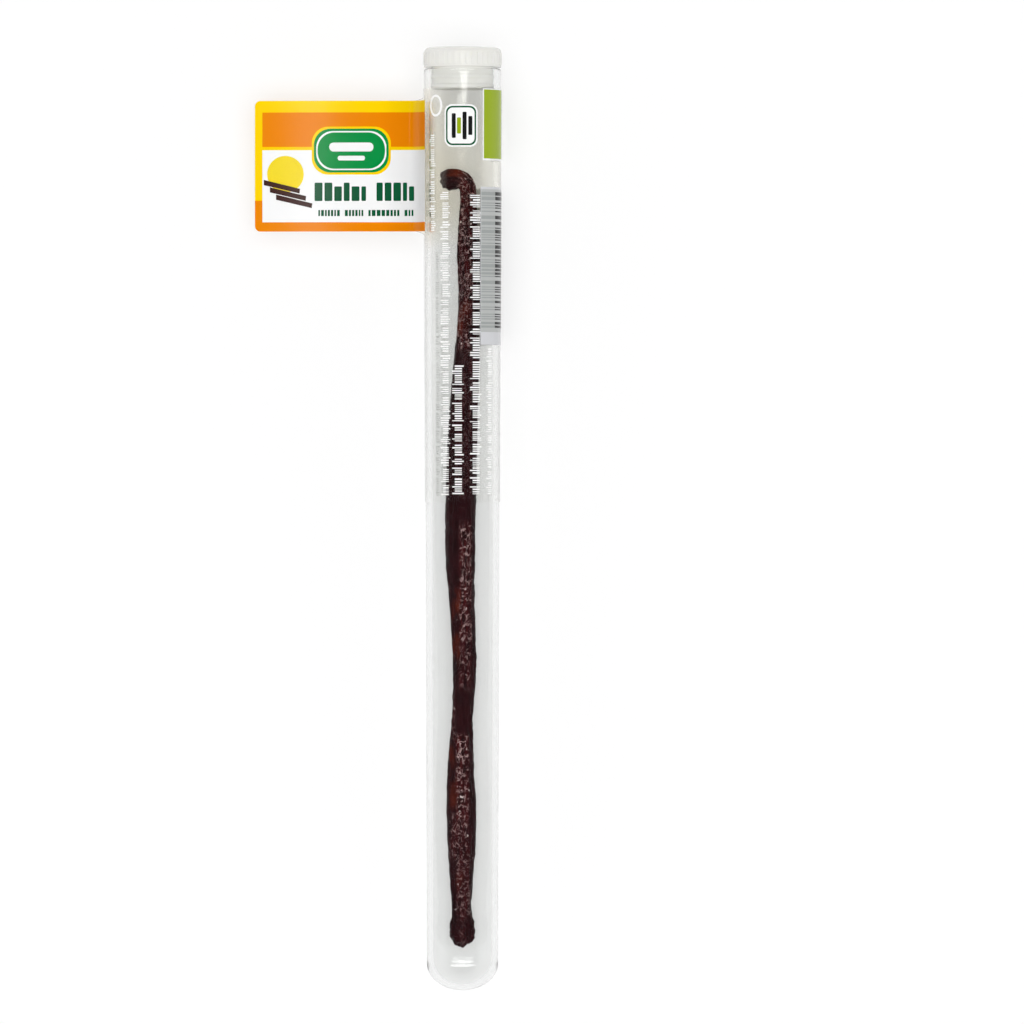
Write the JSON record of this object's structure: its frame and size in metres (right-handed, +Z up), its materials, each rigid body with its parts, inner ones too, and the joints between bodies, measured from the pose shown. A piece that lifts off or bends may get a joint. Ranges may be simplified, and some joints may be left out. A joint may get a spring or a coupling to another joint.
{
  "type": "vanilla pod in tube",
  "caption": "Dark wrinkled vanilla pod with a hooked tip and a knobbed end, lying in a clear plastic tube with a ribbed stopper and a wrap-round film label whose flag stands out sideways.",
  "frame": {"origin": "on the floor, on the narrow resting flat under the tube, where the straight wall meets the round end", "axes": "+Y along the tube towards the stopper, +Z up, and the label's flag to -X"},
  "size_m": [0.0525, 0.2, 0.0166],
  "materials": {
    "tube": "clear gloss plastic",
    "stopper": "milky translucent plastic",
    "label": "clear gloss film with printed colour fields",
    "pod": "oily wrinkled near-black brown skin"
  },
  "bodies": {
    "root": {"tube": "tube", "stopper": "stopper", "label": "label", "pod": "pod"}
  },
  "joints": []
}
